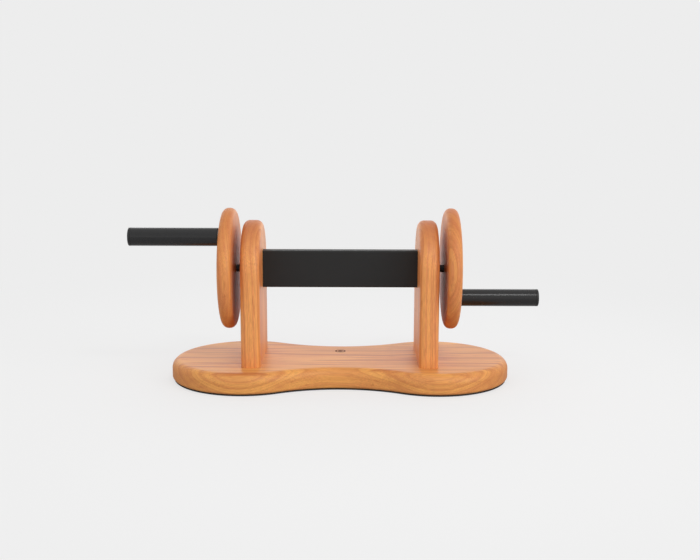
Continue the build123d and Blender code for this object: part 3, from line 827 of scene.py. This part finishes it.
adjuster_low, adjuster_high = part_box("brake_adjusters")
adjuster_radius = 0.004
brake_plastic = finish(
    "brake block plastic", fine_skin,
    {"Tone": (0.1, 0.1, 0.105, 1.0), "Grain Size": 0.35, "Roughness": 0.55},
)
felt = finish(
    "pressed wool felt", fine_skin,
    {"Tone": (0.5, 0.48, 0.44, 1.0), "Grain Size": 0.25, "Roughness": 0.95, "Blotch": 0.4, "Dust": 0.0},
    bump=0.9, bump_depth=0.0004, shader_values={"Sheen Weight": 0.4},
)
refinish(brake_plastic, "upper_brake_block", "lower_brake_block")
refinish(felt, "upper_felt_pad", "lower_felt_pad")
refinish(zinc, "brake_insert_nuts", "brake_disc_springs")
adjusters = screw_set(
    "brake_grub_screws", from_below(adjuster_low, adjuster_high, adjuster_radius, (0.0,)),
    black_oxide,
    head_radius=adjuster_radius, neck_radius=adjuster_radius, head_height=0.002, edge=0.0005,
    shank_radius=adjuster_radius, length=adjuster_high.z - adjuster_low.z, tip_length=0.0008,
    tip_radius=0.0032, socket_radius=0.0023, socket_depth=0.003,
)
place(adjusters, black_oxide, "base", "zinc_steel", "brake_adjusters")


# --- Bearings ---------------------------------------------------------------------------
# A sealed ball bearing in each upright. Its outer race is pressed into the pocket, its
# inner race turns with the axle, and a split spring ring in a groove keeps the axle there.

ball_low, ball_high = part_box("right_bearing_balls")
ball_circle = 0.010
ball_radius = 0.0024
ball_count = 8
ball_ring, given, result = node_group(
    "ball ring", "GeometryNodeTree",
    {
        "Seat": "Geometry", "Balls": 8, "Circle Radius": 0.01, "Ball Radius": 0.0024,
        "Material": "Material",
    },
    {"Ring": "Geometry"},
)
new = partial(add, ball_ring)
circle = new(
    "GeometryNodeMeshCircle", {"Vertices": given["Balls"], "Radius": given["Circle Radius"]}
)
upended = new(
    "GeometryNodeTransform",
    {"Geometry": circle.outputs[0], "Rotation": (math.pi / 2, 0.0, math.pi / 2)},
)
ball = new("GeometryNodeMeshIcoSphere", {"Radius": given["Ball Radius"], "Subdivisions": 3})
one_ring = new("GeometryNodeInstanceOnPoints", {"Points": upended.outputs[0], "Instance": ball.outputs[0]})
at_seat = new("GeometryNodeInstanceOnPoints", {"Points": given["Seat"], "Instance": one_ring.outputs[0]})
finish_tree(ball_ring, at_seat.outputs[0], given["Material"], result["Ring"])

ground_steel = finish(
    "ground bearing steel", worked_metal,
    {"Tone": (0.6, 0.6, 0.62, 1.0), "Line Contrast": 0.08, "Roughness": 0.18, "Roughness Spread": 0.1},
    metallic=1.0, bump=0.05,
)
brass = finish(
    "pressed brass", worked_metal,
    {"Tone": (0.72, 0.5, 0.2, 1.0), "Line Stretch": (2.0, 2.0, 2.0), "Roughness": 0.3}, metallic=1.0,
)
seal_rubber = finish(
    "seal rubber", fine_skin,
    {"Tone": (0.03, 0.02, 0.018, 1.0), "Grain Size": 0.3, "Roughness": 0.6, "Dust": 0.05},
)
for side, word in ((-1, "left"), (1, "right")):
    seat = bpy.data.meshes.new("ball seat")
    seat.from_pydata([(side * (ball_low.x + ball_high.x) / 2, 0.0, axle_z)], [], [])
    balls = grown(word + "_ball_ring", ball_ring, seat, {
        "Balls": ball_count, "Circle Radius": ball_circle, "Ball Radius": ball_radius,
        "Material": ground_steel,
    })
    place(balls, ground_steel, "base", "bearing_steel", word + "_bearing_balls")
    refinish(ground_steel, word + "_bearing_outer", word + "_bearing_inner")
    refinish(brass, word + "_bearing_cage")
refinish(seal_rubber, "bearing_seals")
refinish(black_oxide, "retaining_rings")


# --- Crank discs ------------------------------------------------------------------------
# Turned cherry discs with the rim rounded over from both faces. The steel hub and the
# spindle's flange are let in flush from outside, and a threaded insert under the flange
# takes the spindle.

disc_low, disc_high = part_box("right_disc")
disc_radius = (disc_high.y - disc_low.y) / 2
disc_round = 0.0095
hub_low, hub_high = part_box("right_hub")
hub_radius = (hub_high.y - hub_low.y) / 2
spindle_low, spindle_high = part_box("right_spindle")
spindle_y = (spindle_low.y + spindle_high.y) / 2
spindle_z = (spindle_low.z + spindle_high.z) / 2
hub_sink = 0.004
recess_edge = 0.0003
boss_radius = 0.012
axle_radius = 0.006
flange_radius = 0.012
flange_sink = 0.003
insert_radius = 0.0075
insert_length = 0.014

# Turned pieces come from one tree, which spins a closed profile about a line along X. The
# profile's points hold the place along the line in X and the radius in Y.
turnery, given, result = node_group(
    "turned piece", "GeometryNodeTree",
    {
        "Profile": "Geometry", "Segments": 96, "Centre": (0.0, 0.0, 0.0), "Material": "Material",
    },
    {"Turned": "Geometry"},
)
maths, new = tools_for(turnery)[:2]
profile_size = new("GeometryNodeAttributeDomainSize", {"Geometry": given["Profile"]}).outputs["Point Count"]
ring_size = maths("ADD", given["Segments"], 1.0)
lattice = new(
    "GeometryNodeMeshGrid",
    {"Size X": 1.0, "Size Y": 1.0, "Vertices X": maths("ADD", profile_size, 1.0), "Vertices Y": ring_size},
)
number = turnery.nodes.new("GeometryNodeInputIndex").outputs[0]
row = maths("FLOOR", maths("DIVIDE", maths("ADD", number, 0.5), ring_size))
step = maths("FLOOR", maths("ADD", maths("MODULO", number, ring_size), 0.5))
turn = maths("MULTIPLY", maths("DIVIDE", step, given["Segments"]), 2 * math.pi)
place_field = turnery.nodes.new("GeometryNodeInputPosition").outputs[0]
sampled = new("GeometryNodeSampleIndex", data_type="FLOAT_VECTOR")
turnery.links.new(given["Profile"], sampled.inputs["Geometry"])
turnery.links.new(place_field, sampled.inputs["Value"])
turnery.links.new(maths("MODULO", row, profile_size), sampled.inputs["Index"])
corner = new("ShaderNodeSeparateXYZ", {0: sampled.outputs[0]})
around = new(
    "ShaderNodeCombineXYZ",
    {
        0: corner.outputs["X"],
        1: maths("MULTIPLY", corner.outputs["Y"], maths("COSINE", turn)),
        2: maths("MULTIPLY", corner.outputs["Y"], maths("SINE", turn)),
    },
)
centred = new("ShaderNodeVectorMath", {0: around.outputs[0], 1: given["Centre"]}, operation="ADD")
spun = new("GeometryNodeSetPosition", {"Geometry": lattice.outputs[0], "Position": centred.outputs[0]})
shut = new("GeometryNodeMergeByDistance", {"Geometry": spun.outputs[0], "Distance": 1e-6})
finish_tree(turnery, shut.outputs[0], given["Material"], result["Turned"])


def turned(name, profile, material=None, side=1, y=0.0, z=axle_z, segments=96):
    """A closed profile of (x, radius) points spun about a line along X."""
    points = bpy.data.meshes.new(name)
    points.from_pydata([(side * x, radius, 0.0) for x, radius in profile], [], [])
    inputs = {"Segments": segments, "Centre": (0.0, y, z)}
    if material:
        inputs["Material"] = material
    return grown(name, turnery, points, inputs)


def cut(piece, cutter):
    """Cut one mesh out of another, and drop the cutter."""
    modifier = piece.modifiers.new("cut", "BOOLEAN")
    modifier.operation = "DIFFERENCE"
    modifier.solver = "EXACT"
    modifier.object = cutter
    plain = bpy.data.meshes.new_from_object(piece.evaluated_get(bpy.context.evaluated_depsgraph_get()))
    piece.modifiers.remove(modifier)
    piece.data = plain
    bpy.data.objects.remove(cutter)
    plain.shade_smooth()
    plain.set_sharp_from_angle(angle=math.radians(crease_degrees))


def rod(x_low, x_high, radius):
    """A plain cylinder's profile, from the axis out and back."""
    return [(x_low, 0.0), (x_low, radius), (x_high, radius), (x_high, 0.0)]


clear = 0.01
for side, word in ((-1, "left"), (1, "right")):
    middle_x = side * (disc_low.x + disc_high.x) / 2
    disc_wood = wood(
        word + " disc cherry", "Z", (middle_x, 0.0, axle_z), 0.83 * side, turn=0.12 * side, shine=0.3,
        pith_y=40.0 * side, pith_z=-150.0, ring_width=4.0, bend=9.0, ring_strength=0.45, band_width=1.7,
        light_tone=(0.78, 0.32, 0.094, 1.0), warm_tone=(0.68, 0.24, 0.08, 1.0),
    )
    rim = [(disc_radius - inset, rise_x) for inset, rise_x in rounding(disc_round, 12)]
    edge = [(disc_low.x + disc_round - rise_x, radius) for radius, rise_x in rim[::-1]]
    edge += [(disc_high.x - disc_round + rise_x, radius) for radius, rise_x in rim]
    flat_radius = disc_radius - disc_round - support
    disc_profile = [(disc_low.x, axle_radius), (disc_low.x, flat_radius)] + edge
    disc_profile += [
        (disc_high.x, flat_radius), (disc_high.x, hub_radius + recess_edge),
        (disc_high.x - recess_edge, hub_radius), (disc_high.x - hub_sink, hub_radius),
        (disc_high.x - hub_sink, boss_radius), (hub_low.x, boss_radius), (hub_low.x, axle_radius),
    ]
    disc = turned(word + "_crank_disc", disc_profile, disc_wood, side, segments=160)
    pin = {"side": side, "y": side * spindle_y, "z": axle_z + side * (spindle_z - axle_z)}
    flange_x = disc_high.x - flange_sink
    cut(disc, turned("cutter", rod(flange_x, disc_high.x + clear, flange_radius), **pin))
    cut(disc, turned("cutter", rod(flange_x - insert_length, disc_high.x, insert_radius), **pin))
    place(disc, disc_wood, "crank", "disc_wood", word + "_disc")


# --- Axle and hubs ----------------------------------------------------------------------
# A blackened steel axle, keyed to a black steel hub in each disc. Four countersunk socket
# screws hold the hub in the wood, an end bolt with a washer holds it on the axle, and a
# moulded cap covers the bolt.

hub_screw_circle = 0.0215
cap_low, cap_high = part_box("right_hub_cap")
cap_radius = (cap_high.y - cap_low.y) / 2
cap_wall = 0.0015
cap_top_thickness = 0.002
cap_inner_bevel = 0.002
cap_edge = 0.0004
cap_spigot = 0.010
spigot_wall = 0.0012
spigot_sink = 0.0012
dome_start = 0.0042
dome_rise = 0.0034
dome_reach = 0.0038
crown_radius = 0.0055
crown_fall = 0.0003
hub_black = finish(
    "satin black steel", worked_metal,
    {"Tone": (0.035, 0.035, 0.036, 1.0), "Line Stretch": (0.3, 2.5, 2.5), "Roughness": 0.42, "Smudge": 0.3},
    metallic=0.3, bump=0.1,
)
moulded_black = finish(
    "moulded black plastic", fine_skin,
    {"Tone": (0.014, 0.014, 0.0145, 1.0), "Grain Size": 0.35, "Roughness": 0.4, "Dust": 0.05},
    bump=0.15, shader_values={"Specular IOR Level": 0.42},
)
refinish(black_oxide, "axle")
refinish(hub_black, "left_hub", "right_hub")
refinish(zinc, "axle_keys", "axle_end_bolts", "axle_end_washers")
hub_places = []
for side in (-1, 1):
    for quarter in range(4):
        turn = math.radians(45 + 90 * quarter)
        y, z = hub_screw_circle * math.cos(turn), hub_screw_circle * math.sin(turn)
        hub_places.append(((side * hub_high.x, y, axle_z + z), (side, 0.0, 0.0)))
hub_screws = screw_set(
    "hub_countersunk_screws", hub_places, black_oxide,
    head_radius=0.004, neck_radius=0.002, head_height=0.0024, edge=0.0001, shank_radius=0.002,
    length=0.014, tip_length=0.002, tip_radius=0.0004, socket_radius=0.00144, socket_depth=0.0014,
)
place(hub_screws, black_oxide, "crank", "screw_black", "hub_screws")
for side, word in ((-1, "left"), (1, "right")):
    face_x = hub_high.x
    dome = []
    for step in range(9):
        turn = math.pi / 2 * step / 8
        dome.append((
            cap_high.x - dome_start + dome_rise * math.sin(turn),
            cap_radius - dome_reach * (1 - math.cos(turn)),
        ))
    inside_x = cap_high.x - cap_top_thickness
    spigot_x = face_x - spigot_sink
    cap_bore = cap_radius - cap_wall
    cap_profile = [(face_x, cap_radius - cap_edge), (face_x + cap_edge, cap_radius)] + dome
    cap_profile += [(cap_high.x - crown_fall, crown_radius), (cap_high.x, 0.0), (inside_x, 0.0)]
    cap_profile += [
        (inside_x, cap_spigot - spigot_wall), (spigot_x, cap_spigot - spigot_wall),
        (spigot_x, cap_spigot), (inside_x, cap_spigot), (inside_x, cap_bore - cap_inner_bevel),
        (face_x + cap_inner_bevel, cap_bore), (face_x, cap_bore),
    ]
    cap = turned(word + "_hub_cover", cap_profile, moulded_black, side, segments=72)
    place(cap, moulded_black, "crank", "cap_black", word + "_hub_cap")


# --- Spindles ---------------------------------------------------------------------------
# A turned steel pin stands out of each disc, half a turn apart. Its thread runs in a steel
# insert pressed into the wood, and its flange takes the load on the outer face.

turned_steel = finish(
    "turned steel", worked_metal,
    {"Tone": (0.55, 0.55, 0.56, 1.0), "Line Stretch": (7.0, 0.2, 0.2), "Roughness": 0.3},
    metallic=1.0, bump=0.15,
)
refinish(turned_steel, "left_spindle", "right_spindle")
refinish(zinc, "spindle_inserts", "retaining_screws", "retaining_washers")


# --- Grips ------------------------------------------------------------------------------
# Straight aluminium tube, anodised black, turning on two acetal bushes on its spindle. The
# free end is closed by a black plug with a small rounded edge.

tube_low, tube_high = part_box("right_grip_tube")
plug_low, plug_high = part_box("right_grip_end_cap")
grip_radius = (tube_high.y - tube_low.y) / 2
grip_bore = 0.011
end_round = 0.0012
seam = 0.00025
tube_chamfer = 0.0006
plug_dish = 0.001
anodised = finish(
    "black anodised aluminium", worked_metal,
    {
        "Tone": (0.014, 0.014, 0.0145, 1.0), "Line Stretch": (0.02, 1.2, 1.2), "Line Contrast": 0.5,
        "Roughness": 0.26, "Roughness Spread": 0.1, "Smudge": 0.35,
    },
    bump=0.1, shader_values={"Specular IOR Level": 0.42},
)
acetal = finish(
    "white acetal", fine_skin,
    {"Tone": (0.82, 0.81, 0.77, 1.0), "Grain Size": 0.3, "Roughness": 0.4, "Blotch": 0.05, "Dust": 0.0},
    bump=0.05,
)
for side, word in ((-1, "left"), (1, "right")):
    pin = {"side": side, "y": side * spindle_y, "z": axle_z + side * (spindle_z - axle_z)}
    tube_profile = [
        (tube_low.x, grip_bore), (tube_low.x, grip_radius - tube_chamfer),
        (tube_low.x + tube_chamfer, grip_radius),
    ]
    span = tube_high.x - tube_low.x - tube_chamfer - seam
    tube_profile += [(tube_low.x + tube_chamfer + span * part / 6, grip_radius) for part in range(1, 7)]
    tube_profile += [(tube_high.x, grip_radius - seam), (tube_high.x, grip_bore)]
    tube = turned(word + "_grip_sleeve", tube_profile, anodised, segments=128, **pin)
    place(tube, anodised, word + "_grip", "grip_black", word + "_grip_tube")
    plug_profile = [(plug_low.x, 0.0), (plug_low.x, grip_bore), (tube_high.x, grip_bore)]
    plug_profile += [(tube_high.x, grip_radius - seam), (tube_high.x + seam, grip_radius)]
    corner_x = plug_high.x - end_round
    plug_profile += [(corner_x + rise_x, grip_radius - inset) for inset, rise_x in rounding(end_round, 6)]
    plug_profile += [(plug_high.x, grip_radius - end_round - plug_dish), (plug_high.x, 0.0)]
    plug = turned(word + "_grip_plug", plug_profile, moulded_black, segments=128, **pin)
    place(plug, moulded_black, word + "_grip", "cap_black", word + "_grip_end_cap")
    refinish(acetal, word + "_grip_inner_bush", word + "_grip_outer_bush")


# --- Studio -----------------------------------------------------------------------------
# A pale floor that runs out into an even pale backdrop, a dome of soft light, a weak light
# overhead, a wide one behind, a tall one at each side, and a strip for the right grip.

backdrop_level = 0.847
floor_tone = 0.56
bright_floor_tone = 0.98
floor_reach = 6.0
floor_mesh = bpy.data.meshes.new("floor")
floor_corners = [(x * floor_reach, y * floor_reach, 0) for x, y in ((-1, -1), (1, -1), (1, 1), (-1, 1))]
floor_mesh.from_pydata(floor_corners, [], [(0, 1, 2, 3)])
floor = linked("floor", floor_mesh)
floor_material, floor_tree, floor_shader, floor_place = plain_material("pale floor")
floor_tree.nodes.remove(floor_shader)
distance = add(floor_tree, "ShaderNodeVectorMath", {0: floor_place["Object"]}, operation="LENGTH")
fade = band(floor_tree, distance.outputs["Value"], 0.35, 1.1, 0.76, 1.0)
to_camera = floor_tree.nodes.new("ShaderNodeLightPath").outputs["Is Camera Ray"]
fade = calc(floor_tree, "MULTIPLY", fade, to_camera)
floor_y = add(floor_tree, "ShaderNodeSeparateXYZ", {0: floor_place["Object"]}).outputs["Y"]
brighter = calc(floor_tree, "MAXIMUM", band(floor_tree, floor_y, 0.1, 0.6), to_camera)
tone = calc(floor_tree, "MULTIPLY_ADD", brighter, bright_floor_tone - floor_tone, floor_tone)
lit = add(floor_tree, "ShaderNodeBsdfDiffuse", {"Color": tone})
even = add(floor_tree, "ShaderNodeEmission", {"Color": (backdrop_level,) * 3 + (1.0,)})
floor_mix = add(floor_tree, "ShaderNodeMixShader", {0: fade, 1: lit.outputs[0], 2: even.outputs[0]})
floor_tree.links.new(floor_mix.outputs[0], floor_tree.nodes["Material Output"].inputs["Surface"])
floor_mesh.materials.append(floor_material)

low_front_fill = 0.9
high_front_fill = 0.76
low_back_fill = 0.6
high_back_fill = 0.7
world = bpy.data.worlds.new("studio")
bpy.context.scene.world = world
world.use_nodes = True
world_tree = world.node_tree
world_tree.nodes.clear()
light_path = world_tree.nodes.new("ShaderNodeLightPath")
seen = add(world_tree, "ShaderNodeBackground", {"Color": (backdrop_level,) * 3 + (1.0,), "Strength": 1.0})
direction = world_tree.nodes.new("ShaderNodeTexCoord").outputs["Generated"]
heading = add(world_tree, "ShaderNodeSeparateXYZ", {0: direction}).outputs
low_fill = band(world_tree, heading["Y"], -0.3, 0.3, low_front_fill, low_back_fill)
high_fill = band(world_tree, heading["Y"], -0.3, 0.3, high_front_fill, high_back_fill)
upward = band(world_tree, heading["Z"], 0.15, 0.45)
more = calc(world_tree, "MULTIPLY", upward, calc(world_tree, "SUBTRACT", high_fill, low_fill))
fill = calc(world_tree, "ADD", low_fill, more)
felt_light = add(world_tree, "ShaderNodeBackground", {"Color": (1.0, 1.0, 1.0, 1.0), "Strength": fill})
world_mix = add(
    world_tree, "ShaderNodeMixShader",
    {0: light_path.outputs["Is Camera Ray"], 1: felt_light.outputs[0], 2: seen.outputs[0]},
)
add(world_tree, "ShaderNodeOutputWorld", {"Surface": world_mix.outputs[0]})


def soft_light(name, where, target, size, watts):
    """A rectangular light aimed at a point, itself unseen by the camera."""
    data = bpy.data.lights.new(name, "AREA")
    data.shape = "RECTANGLE"
    data.size, data.size_y = size
    data.energy = watts
    light = linked(name, data)
    light.visible_camera = False
    light.location = where
    light.rotation_euler = (Vector(target) - Vector(where)).to_track_quat("-Z", "Y").to_euler()


soft_light("overhead light", (0.0, 0.1, 2.2), (0, 0, 0.1), (3.0, 2.4), 2.0)
soft_light("back light", (0.0, 2.8, 1.0), (0, 0, 0.15), (5.0, 2.0), 28.0)
soft_light("left side light", (-2.5, -1.9, 1.2), (0, 0, 0.15), (1.6, 2.2), 4.0)
soft_light("right side light", (2.5, -1.9, 1.2), (0, 0, 0.15), (1.6, 2.2), 27.0)
soft_light("right strip light", (0.55, -1.31, 1.65), (0.25, 0, 0.15), (0.42, 0.14), 5.0)

camera_data = bpy.data.cameras.new("camera")
camera_data.sensor_width = 36.0
camera_data.lens = 53.0
camera = linked("camera", camera_data)
camera_place = (0.0155, -1.611, 0.4389)
pitch = math.radians(9.872)
roll = math.radians(0.172)
level = Matrix.Rotation(math.pi / 2 - pitch, 4, "X")
camera.matrix_world = Matrix.Translation(camera_place) @ level @ Matrix.Rotation(roll, 4, "Z")
bpy.context.scene.camera = camera
bpy.context.scene.view_settings.view_transform = "Standard"
